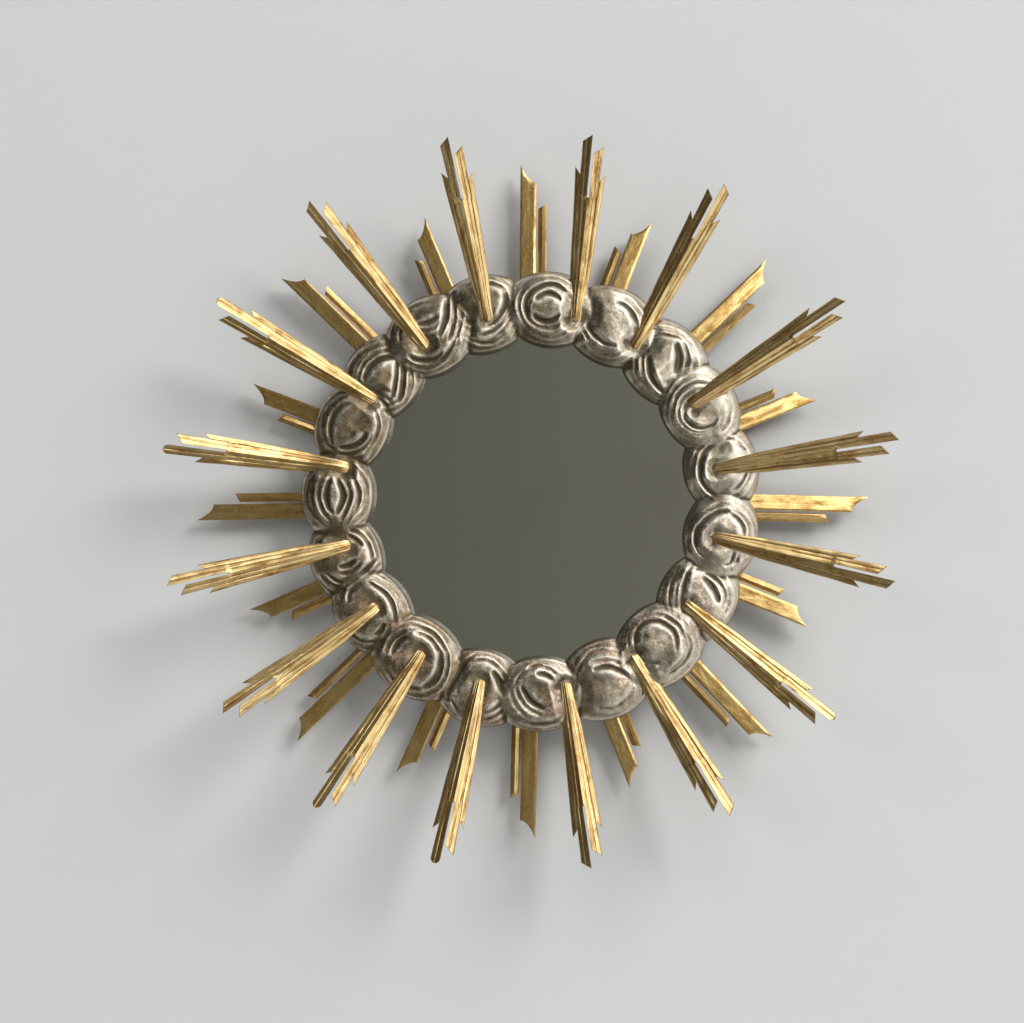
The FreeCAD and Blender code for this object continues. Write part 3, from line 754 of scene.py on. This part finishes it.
def carved_ring():
    ring_back = node_depths("cloud_ring")[0]
    glass_front = node_depths("mirror_glass")[1]
    turns = np.arange(ring_columns) * 2 * math.pi / ring_columns
    inner, outer = ring_edges(turns)
    even = np.linspace(0, 1, ring_rows)
    shares = ring_even_share * even + (1 - ring_even_share) * (0.5 - 0.5 * np.cos(math.pi * even))
    radii = inner[:, None] + (outer - inner)[:, None] * shares
    heights, grime_and_shade, sweep = carved_heights(turns, radii)
    # How far each place lies below its surroundings. The leaf paints this as soiling and painted shade, and
    # ridges paler.
    hollow = blurred(heights, hollow_reach) - heights
    recess = np.where(hollow > 0, np.maximum(hollow, hollow_grime_and_shade * grime_and_shade), hollow + ridge_grime_and_shade * grime_and_shade)
    recess = np.clip(recess, -1, 1)
    # Painted shadow on the rows at the inner lip.
    for row, share in enumerate(lip_painted_shadow):
        recess[:, row] = np.maximum(recess[:, row], share)
    same = np.ones((ring_columns, 1))
    rebate = rebate_radius * same
    back = ring_back * same
    front = glass_front * same
    radii = np.hstack([inner[:, None] + lip_undercut, radii, outer[:, None], rebate, rebate])
    depths = np.hstack([front, ring_back + heights, back, back, front])
    rows = radii.shape[1]
    vertices = np.stack([radii * np.sin(turns)[:, None], -depths, radii * np.cos(turns)[:, None]], axis=-1)
    faces = []
    for column in range(ring_columns):
        here = column * rows
        there = ((column + 1) % ring_columns) * rows
        for row in range(rows):
            up = (row + 1) % rows
            faces.append((here + row, there + row, there + up, here + up))
    piece = new_piece("carved_ring", (vertices * millimetre).reshape(-1, 3).tolist(), faces,
                      silver_leaf, "cloud_ring")
    bare = np.zeros((ring_columns, rows))
    bare[:, -3:] = 1
    recess = np.pad(recess, ((0, 0), (1, 3)))
    # Painted shadow on the inner wall under the lip.
    recess[:, 0] = lip_wall_painted_shadow
    set_values(piece.data, "recess", recess)
    set_values(piece.data, "sweep", np.pad(sweep, ((0, 0), (1, 3))) * millimetre)
    set_values(piece.data, "bare", bare)
    piece.data.set_sharp_from_angle(angle=math.radians(ring_sharp_edge))


# Gilded rays

def solid_from_top(name, top, faces, bottoms, wear_and_shade, grain, material, replaced):
    """A gilded piece from its carved top: the same outline below, and upright walls round it."""
    count = len(top)
    edges = {}
    for face in faces:
        for first, second in zip(face, face[1:] + face[:1]):
            edges[(first, second)] = edges.get((first, second), 0) + 1
    rim = [edge for edge in edges if (edge[1], edge[0]) not in edges]
    walls = [(second, first, first + count, second + count) for first, second in rim]
    under = [tuple(corner + count for corner in reversed(face)) for face in faces]
    piece = new_piece(name, [tuple(point) for point in top + bottoms], faces + walls + under,
                      material, replaced)
    # The rims count as worn through. The grooves bring painted shade from the crown.
    worn = list(wear_and_shade) * 2
    for first, second in rim:
        worn[first] = worn[second] = 1.0
    set_values(piece.data, "wear_and_shade", worn)
    set_values(piece.data, "bare", [0.0] * count + [1.0] * count)
    layer = piece.data.uv_layers.new(name="grain")
    corners = np.zeros(len(piece.data.loops), int)
    piece.data.loops.foreach_get("vertex_index", corners)
    layer.data.foreach_set("uv", (np.array(list(grain) * 2)[corners]).astype(np.float32).ravel())
    return piece


class ForkedRay:
    """One forked ray, measured along it from its seat, to its left, and out of its flat underside."""

    def __init__(self, number):
        seat_angle, tip_angle, side, self.end = forked_rays[number]
        self.name = f"ray_bundle_{number + 1:02d}"
        self.number = number
        self.side = 1 if side == "left" else -1
        seat = clock_point(ray_seat_radius, seat_angle)
        reach = clock_point(ray_tip_radius, tip_angle) - seat
        tilt = math.radians(ray_tilt)
        front = Vector((0, -1, 0))
        outwards = reach.normalized()
        self.seat = seat
        self.outwards = outwards
        self.length = reach.length / math.cos(tilt) / millimetre - ray_tip_wear
        self.along = outwards * math.cos(tilt) + front * math.sin(tilt)
        self.lift = front * math.cos(tilt) - outwards * math.sin(tilt)
        self.left = self.lift.cross(self.along)
        crest = max(vertex.co.dot(self.lift) for vertex in nodes[self.name].data.vertices)
        self.depth = (crest - seat.dot(self.lift)) / front.dot(self.lift)
        self.foot = seat + front * self.depth - self.lift * ray_ridge_height * millimetre
        self.ridge = self.depth / millimetre - node_depths("cloud_ring")[0]
        self.root_lift = ray_root_lift * max(cloud_crest_height - self.ridge, 0)

    def half_width(self, distance):
        return (ray_root_width + (ray_tip_width - ray_root_width) * distance / self.length) / 2

    def placed(self, along, across, height):
        return self.foot + (self.along * along + self.left * across + self.lift * height) * millimetre

    def bedded(self, x, z, heights):
        """The heights of the ring with a soft hollow round the root of this ray."""
        right = x - self.seat.x / millimetre
        up = z - self.seat.z / millimetre
        along = right * self.outwards.x + up * self.outwards.z
        across = right * self.outwards.z - up * self.outwards.x
        reached = np.clip(along, 0, bed_reach)
        beside = np.clip(np.hypot(along - reached, across) - bed_radius, 0, None)
        ridge = self.ridge + reached * math.tan(math.radians(ray_tilt))
        ridge = ridge + self.root_lift * self.near_root(reached)
        bed = ridge - bed_sink + bed_rise * beside ** 2
        share = np.clip(0.5 + 0.5 * (bed - heights) / bed_softness, 0, 1)
        return bed * (1 - share) + heights * share - bed_softness * share * (1 - share)

    def near_root(self, along):
        """One at the seat, and a smooth fall to nought where the ray has its plain shape."""
        out = np.clip(along / ray_root_reach, 0, 1)
        return 1 - out * out * (3 - 2 * out)

    def rooted(self, along, height):
        """A ray's share of its width, and its height: it is slim, full and round-nosed at its root."""
        near = self.near_root(along)
        back = min(max(1 - (along - ray_nose_start) / ray_nose_length, 0), 1)
        blunt = 1 - math.sqrt(1 - back ** 2)
        height += near * (ray_root_fullness * (ray_ridge_height - height) + self.root_lift)
        width = (1 - ray_root_slimness * near) * (1 - ray_nose_narrowing * blunt)
        return width, height * (1 - ray_nose_drop * blunt)

    def drift(self, along, across, seed):
        """A hand's unevenness, from minus one to one."""
        return noise.noise(Vector((along, across, ray_seed_step * self.number + seed)))

    def uneven(self, along, across, drift):
        amount, pitch, spread, seed = drift
        return amount * self.drift(along / pitch, spread * across, seed)

    def stations(self, share, longest):
        """Where a line along the ray starts, meets the slot, meets the notch and ends."""
        setback = ray_long_side_setback if longest else ray_short_side_setback
        notch = self.length - setback - ray_prong_slant
        if share > ray_split_share:
            beyond = (share - ray_split_share) / (1 - ray_split_share)
            notch = notch + ray_prong_slant * beyond
        inside = min(share / ray_split_share, 1)
        if not longest:
            end = self.length - ray_second_prong_setback - ray_prong_slant * (1 - inside)
        elif self.end == "round":
            rounding = self.half_width(self.length) * ray_split_share / 2
            end = self.length - rounding * (1 - math.sqrt(1 - (2 * inside - 1) ** 2))
        else:
            end = self.length - ray_prong_slant * inside
        return ray_nose_start, self.length - ray_slot_length, notch, end

    def rows(self):
        """The share of the way between stations at each row, closer together near the ends."""
        whole = [(0, share) for share in ray_nose_rows]
        whole += [(0, share) for share in np.linspace(ray_body_start, 1, ray_body_rows, endpoint=False)]
        slotted = [(1, share) for share in ray_slot_rows]
        pronged = [(2, share) for share in ray_prong_rows]
        return whole, slotted, pronged

    def build(self):
        whole, slotted, pronged = self.rows()
        rows = whole + slotted + pronged
        slot_row = len(whole)
        notch_row = len(whole) + len(slotted)
        shares = [share for share, _, _ in ray_crown]
        split = shares.index(ray_split_share)
        top, bottoms, wear_and_shade, grain, index = [], [], [], [], {}
        faces = []

        def corner(half, row, column):
            key = (1 if column == 0 and row <= slot_row else half, row, column)
            if key not in index:
                share, height, shade = ray_crown[column]
                stage, part = rows[row]
                stations = self.stations(share, half == 1)
                along = stations[stage] + (stations[stage + 1] - stations[stage]) * part
                slot = ray_slot_width / 2 if row > slot_row else 0
                slimming, height = self.rooted(along, height)
                width = self.half_width(along) * slimming
                width += self.uneven(along, half, ray_width_drift)
                across = half * self.side * (slot + (width - slot) * share)
                height += self.uneven(along, share * half, ray_fine_drift)
                height += self.uneven(along, share * half, ray_slow_drift)
                index[key] = len(top)
                top.append(self.placed(along, across, height))
                bottoms.append(self.placed(along, across, 0))
                wear_and_shade.append(shade)
                grain.append((along * millimetre + ray_grain_step[0] * self.number,
                              across * millimetre + ray_grain_step[1] * self.number))
            return index[key]

        for half in (1, -1):
            for row in range(len(rows) - 1):
                last = len(shares) - 1 if row < notch_row else split
                for column in range(last):
                    face = (corner(half, row, column), corner(half, row + 1, column),
                            corner(half, row + 1, column + 1), corner(half, row, column + 1))
                    faces.append(face if half * self.side == -1 else tuple(reversed(face)))
        return solid_from_top(f"gilded_{self.name}", top, faces, bottoms, wear_and_shade, grain, reeded_gold, self.name)


def new_tree(name, sizes):
    """A geometry tree with one named input for each size. Gives the tree and its inputs."""
    tree = bpy.data.node_groups.new(name, "GeometryNodeTree")
    tree.interface.new_socket("Places", in_out="INPUT", socket_type="NodeSocketGeometry")
    for size in sizes:
        tree.interface.new_socket(size, in_out="INPUT", socket_type="NodeSocketFloat")
    tree.interface.new_socket("Finish", in_out="INPUT", socket_type="NodeSocketMaterial")
    tree.interface.new_socket("Geometry", in_out="OUTPUT", socket_type="NodeSocketGeometry")
    work = Work(tree)
    group = tree.nodes.new("NodeGroupInput")
    return work, {socket.name: Out(work, socket) for socket in group.outputs if socket.name}


def finish_tree(work, geometry, finish):
    """Ends a tree with plain meshes in their finish."""
    real = work.make("GeometryNodeRealizeInstances", None, {"Geometry": geometry})
    real = work.make("GeometryNodeSetMaterial", None, {"Geometry": real, "Material": finish})
    work.make("NodeGroupOutput", None, {"Geometry": real})
    return work.tree


def grown(name, tree, values, replaced, places=()):
    """A plain piece grown by a tree from its named sizes, and from places where it needs them."""
    start = bpy.data.meshes.new(name + "_seed")
    start.from_pydata(places, [], [])
    seed = bpy.data.objects.new(name + "_seed", start)
    bpy.context.scene.collection.objects.link(seed)
    modifier = seed.modifiers.new("tree", "NODES")
    modifier.node_group = tree
    for socket in tree.interface.items_tree:
        if socket.in_out == "INPUT" and socket.name in values:
            modifier[socket.identifier] = values[socket.name]
    evaluated = seed.evaluated_get(bpy.context.evaluated_depsgraph_get())
    mesh = bpy.data.meshes.new_from_object(evaluated)
    seed.modifiers.remove(modifier)
    bpy.data.objects.remove(seed)
    mesh.name = name
    return finished(name, mesh, replaced)


screw_sizes = ["Face radius", "Under radius", "Head height", "Neck radius", "Length", "Slot width",
               "Slot depth"]


def screw_tree():
    """Slotted screws at the given places, heads towards the wall, each slot at an angle of its own."""
    work, sizes = new_tree("slotted_screws", screw_sizes)
    head = work.make("GeometryNodeMeshCone", None,
                     {"Vertices": 32, "Radius Top": sizes["Face radius"],
                      "Radius Bottom": sizes["Under radius"], "Depth": sizes["Head height"]})
    down = work.joined(z=0 - sizes["Head height"])
    head = work.make("GeometryNodeTransform", None, {"Geometry": head, "Translation": down})
    cutter = work.joined(sizes["Under radius"] * 2 + sizes["Face radius"] * 2, sizes["Slot width"],
                         sizes["Slot depth"] * 2)
    slot = work.make("GeometryNodeMeshCube", None, {"Size": cutter})
    head = work.make("GeometryNodeMeshBoolean", {"operation": "DIFFERENCE", "solver": "EXACT"},
                     {"Mesh 1": head, "Mesh 2": slot})
    shank = work.make("GeometryNodeMeshCylinder", None, {"Vertices": 24, "Radius": sizes["Neck radius"],
                                                         "Depth": sizes["Length"] - sizes["Head height"]})
    below = work.joined(z=(sizes["Length"] + sizes["Head height"]) * -0.5)
    shank = work.make("GeometryNodeTransform", None, {"Geometry": shank, "Translation": below})
    screw = work.make("GeometryNodeJoinGeometry", None, {"Geometry": head})
    work.tree.links.new(shank.socket, screw.socket.node.inputs["Geometry"])
    spin = work.make("FunctionNodeRandomValue", {"data_type": "FLOAT"},
                     {2: 0.0, 3: math.pi, "Seed": 5}, out=1)
    facing = work.joined(-math.pi / 2, spin)
    screws = work.make("GeometryNodeInstanceOnPoints", None, {"Points": sizes["Places"], "Instance": screw,
                                                              "Rotation": facing})
    return finish_tree(work, screws, sizes["Finish"])


def screw_places(name):
    """The middle of each screw head of a node on its outer face, the head's radius and the length."""
    groups = []
    for vertex in nodes[name].data.vertices:
        for group in groups:
            if math.hypot(vertex.co.x - group[0].x, vertex.co.z - group[0].z) < screw_separation * millimetre:
                group.append(vertex.co)
                break
        else:
            groups.append([vertex.co])
    places = []
    for group in groups:
        x = [point.x for point in group]
        y = [point.y for point in group]
        z = [point.z for point in group]
        places.append(((min(x) + max(x)) / 2, max(y), (min(z) + max(z)) / 2))
    return places, (max(x) - min(x)) / 2, max(y) - min(y)


def slotted_screws(tree, name, round_headed, material):
    places, head, length = screw_places(name)
    neck = head * screw_neck_share
    values = {"Face radius": head * round_face_share if round_headed else head,
              "Under radius": head if round_headed else neck, "Head height": head - neck, "Neck radius": neck,
              "Length": length, "Slot width": head * screw_slot_share,
              "Slot depth": (head - neck) * screw_slot_depth_share,
              "Finish": material}
    grown(f"slotted_{name}", tree, values, name, places)


lath_sizes = ["Root", "Tip", "Inner edge", "Outer edge", "End slant", "End hollow", "Back", "Front",
              "Edge thickness", "Turn", "Number"]


def lath_tree():
    """A flat or gabled ray, cut from a box: along it, across it, and out from the wall."""
    work, sizes = new_tree("lath", lath_sizes)
    box = work.make("GeometryNodeMeshCube", None,
                    {"Size": (1, 1, 1), "Vertices X": 13, "Vertices Y": 2, "Vertices Z": 46})
    place = work.make("GeometryNodeInputPosition")
    across, out, along = [work.part(place, axis) + 0.5 for axis in range(3)]
    forward = 1 - out
    aside = work.make("ShaderNodeMath", {"operation": "ABSOLUTE"}, {0: across * 2 - 1})
    short = sizes["End slant"] * (1 - across) + sizes["End hollow"] * 4 * across * (1 - across)
    reach = sizes["Root"] + along * (sizes["Tip"] - short - sizes["Root"])
    number = sizes["Number"] * lath_seed_step
    shake = work.cloudy(work.joined(reach / lath_shake_pitch, number), 1.0, 2.0) - 0.5
    dip = work.cloudy(work.joined(reach / lath_dip_pitch, number, across * lath_dip_spread), 1.0, 2.0)
    side = sizes["Inner edge"] + (sizes["Outer edge"] - sizes["Inner edge"]) * across + shake * lath_shake
    worn = (aside ** lath_edge_sharpness).larger(along ** lath_end_sharpness)
    thickness = sizes["Front"] - sizes["Back"]
    crown = thickness - (thickness - sizes["Edge thickness"]) * aside - dip * lath_dip - worn * lath_edge_wear
    depth = sizes["Back"] + crown * forward
    flat = work.joined(side, 0 - depth, reach)
    turned = work.make("ShaderNodeVectorRotate", {"rotation_type": "Y_AXIS"},
                       {"Vector": flat, "Angle": sizes["Turn"]})
    metres = work.make("ShaderNodeVectorMath", {"operation": "SCALE"}, {0: turned, "Scale": millimetre})
    grain = work.joined(reach * millimetre + sizes["Number"] * lath_grain_step[0],
                        side * millimetre + sizes["Number"] * lath_grain_step[1])
    lath = work.make("GeometryNodeStoreNamedAttribute", {"data_type": "FLOAT2", "domain": "CORNER"},
                     {"Geometry": box, "Name": "grain", "Value": grain})
    for name, value in (("wear_and_shade", worn * lath_edge_shade), ("bare", out)):
        lath = work.make("GeometryNodeStoreNamedAttribute", {"data_type": "FLOAT", "domain": "POINT"},
                         {"Geometry": lath, "Name": name, "Value": value})
    lath = work.make("GeometryNodeSetPosition", None, {"Geometry": lath, "Position": metres})
    return finish_tree(work, lath, sizes["Finish"])


def lath_pair(tree, number):
    """The wide and the narrow lath of one pair. Every other pair is shorter and the other way round."""
    side = -1 if number % 2 == 0 else 1
    half = side * (wide_lath_width + pair_gap + narrow_lath_width) / 2
    wide_name = f"wide_ray_{number + 1:02d}"
    narrow_name = f"narrow_ray_{number + 1:02d}"
    back, front = node_depths(wide_name)
    shared = {"Root": lath_root_radius, "Back": back, "Front": front,
              "Turn": math.radians(pair_angles[number]), "Finish": flat_gold}
    wide = {"Tip": long_wide_tip if side < 0 else short_wide_tip, "Inner edge": half - side * wide_lath_width,
            "Outer edge": half, "End slant": wide_end_slant, "End hollow": wide_end_hollow,
            "Edge thickness": front - back, "Number": float(number)}
    narrow = {"Tip": long_narrow_tip if side < 0 else short_narrow_tip,
              "Inner edge": side * narrow_lath_width - half, "Outer edge": -half,
              "End slant": narrow_end_slant, "End hollow": 0.0, "Edge thickness": narrow_edge_thickness,
              "Number": float(number + len(pair_angles))}
    grown(f"gilded_{wide_name}", tree, shared | wide, wide_name)
    grown(f"gilded_{narrow_name}", tree, shared | narrow, narrow_name)


def paint(name, material):
    """Gives a node of the frame its finish."""
    mesh = nodes[name].data
    mesh.materials.clear()
    mesh.materials.append(material)


carved_ring()
for number in range(len(forked_rays)):
    ForkedRay(number).build()
lath_maker = lath_tree()
for number in range(len(pair_angles)):
    lath_pair(lath_maker, number)
paint("mirror_glass", mirror_silver)
paint("back_panel", panel_wood)
paint("backing_ring", backing_wood)
paint("keyhole_plate", steel)
for name in ("turn_button_1", "turn_button_2", "turn_button_3", "turn_button_4"):
    paint(name, brass)
screw_maker = screw_tree()
slotted_screws(screw_maker, "backing_screws", False, steel)
slotted_screws(screw_maker, "keyhole_screws", False, steel)
slotted_screws(screw_maker, "turn_button_screws", True, brass)


# Stage

def sheet_of(name, corners, material):
    mesh = bpy.data.meshes.new(name)
    mesh.from_pydata(corners, [], [(0, 1, 2, 3)])
    mesh.materials.append(material)
    sheet = bpy.data.objects.new(name, mesh)
    bpy.context.scene.collection.objects.link(sheet)
    return sheet


def wall_paint():
    """Pale plaster in front, and nothing at all for a view from behind."""
    material, work = new_material("wall_paint")
    plaster = work.make("ShaderNodeBsdfDiffuse", None, {"Color": colour(0.59, 0.595, 0.59)})
    behind = work.make("ShaderNodeNewGeometry", out="Backfacing")
    passed = work.light_path("Transparent Depth").between(0.4, 0.6)
    work.close_partly_clear(behind.larger(passed), plaster)
    return material


def room_card(name, bright_from, bright_to, sill, light, left_light=0.0):
    """The paint of a dark card that is bright on the right above a sill, and may be paler on the far left."""
    material, work = new_material(name)
    across = work.part(work.place(), 0)
    upwards = work.part(work.place(), 2)
    shade = work.blend(across.between(-3.0, -1.2), colour(0.045, 0.044, 0.038), colour(0.116, 0.112, 0.086))
    shade = work.blend(across.between(-0.7, 0.4), shade, colour(0.152, 0.146, 0.115))
    if left_light:
        pale = colour(left_light, left_light * 0.99, left_light * 0.95)
        shade = work.blend(across.between(-1.5, -2.2), shade, pale)
    bright = across.between(bright_from, bright_to) * upwards.between(sill - 0.15, sill + 0.15)
    shade = work.blend(bright, shade, colour(light, light * 0.985, light * 0.94))
    work.close(work.make("ShaderNodeEmission", None, {"Color": shade, "Strength": 1.0}))
    material.cycles.emission_sampling = "NONE"
    return material


def card_of(name, corners, material):
    """A card that shows only in the glass and the leaf."""
    card = sheet_of(name, corners, material)
    card.visible_camera = False
    card.visible_diffuse = False
    card.visible_transmission = False
    card.visible_shadow = False


def floor_paint():
    """A pale floor that fades out far from the object."""
    material, work = new_material("floor_paint")
    pale = work.make("ShaderNodeBsdfDiffuse", None, {"Color": colour(0.70, 0.70, 0.69)})
    away = work.make("ShaderNodeVectorMath", {"operation": "LENGTH"}, {0: work.place()}, out="Value")
    work.close_partly_clear(away.between(floor_reach * 0.4, floor_reach * 0.95), pale)
    return material


def soft_lamp(name, place, size, power, tint, mirrored=True):
    """A round soft lamp that looks at the object. It can be kept out of the leaf and the glass."""
    lamp = bpy.data.lights.new(name, "AREA")
    lamp.shape = "DISK"
    lamp.size = size
    lamp.energy = power
    lamp.color = tint
    shade = bpy.data.objects.new(name, lamp)
    shade.location = place
    shade.rotation_euler = (-Vector(place)).to_track_quat("-Z", "Y").to_euler()
    shade.visible_glossy = mirrored
    bpy.context.scene.collection.objects.link(shade)


def pale_world():
    world = bpy.data.worlds.new("pale_studio")
    world.use_nodes = True
    world.node_tree.nodes.clear()
    work = Work(world.node_tree)
    seen = work.light_path("Is Camera Ray")
    seen = seen.larger(work.light_path("Is Glossy Ray")).larger(work.light_path("Is Transmission Ray"))
    strength = 0.12 + seen * 0.68
    sky = work.make("ShaderNodeBackground", None, {"Color": colour(0.98, 0.99, 1.0), "Strength": strength})
    work.make("ShaderNodeOutputWorld", None, {"Surface": sky})
    bpy.context.scene.world = world


wall_gap = 0.0005
wall_reach = 6.0
floor_level = -1.35
floor_reach = 6.0
card_distance = -4.2
card_left = -3.2
card_right = 2.6
card_top = 4.0
low_card = floor_level + 0.01


def upright(start, end, top):
    """The corners of an upright sheet on the floor, between two points of the plan."""
    return [(*start, floor_level), (*end, floor_level), (*end, top), (*start, top)]


def level(left, right, front, back, height):
    return [(left, front, height), (right, front, height), (right, back, height), (left, back, height)]


sheet_of("wall", upright((-wall_reach, wall_gap), (wall_reach, wall_gap), wall_reach), wall_paint())
sheet_of("floor", level(-floor_reach, floor_reach, -floor_reach, floor_reach, floor_level), floor_paint())
dark_card = room_card("dark_card", 0.41, 0.48, -0.45, 2.65)
card_of("front_card", upright((card_left, card_distance), (card_right, card_distance), card_top), dark_card)
card_of("side_card", upright((card_left, 0.0), (card_left, card_distance), card_top), dark_card)
card_of("top_card", level(card_left, card_right, card_distance, 0.0, card_top),
        room_card("top_shade", -0.5, 0.5, floor_level, 2.2, 0.5))
card_of("right_card", upright((card_right, card_distance), (card_right, 0.0), card_top),
        room_card("right_shade", 0.0, 1.0, 2 * floor_level, 1.2))
card_of("low_card", level(card_left, card_right, card_distance, 0.0, low_card),
        room_card("low_shade", -0.6, 1.4, 2 * floor_level, 0.9, 0.6))
pale_world()
daylight = (1.0, 0.995, 0.985)
soft_lamp("window", (7.2, -5.4, 6.8), 6.5, 430, daylight)
soft_lamp("window_fill", (7.2, -5.4, 6.8), 6.5, 1190, daylight, False)
soft_lamp("left_fill", (-6.5, -5.0, 3.5), 5.0, 180, daylight, False)
soft_lamp("ceiling", (-1.5, -4.0, 5.5), 3.6, 60, daylight)
soft_lamp("back_key", (-1.6, 2.4, 1.5), 1.8, 40, daylight)
soft_lamp("back_fill", (1.8, 2.2, 0.2), 1.8, 18, daylight)

camera_place = (0.10, -2.80, 0.0)
camera_aim = (0.0, -0.05, 0.0)
camera_lens = 77.4
camera_shift = (-0.0176, -0.0098)
camera = bpy.data.cameras.new("camera")
camera.lens = camera_lens
camera.sensor_width = 36.0
camera.shift_x, camera.shift_y = camera_shift
viewer = bpy.data.objects.new("camera", camera)
viewer.location = camera_place
viewer.rotation_euler = (Vector(camera_aim) - Vector(camera_place)).to_track_quat("-Z", "Y").to_euler()
bpy.context.scene.collection.objects.link(viewer)
bpy.context.scene.camera = viewer
bpy.context.scene.view_settings.view_transform = "Standard"
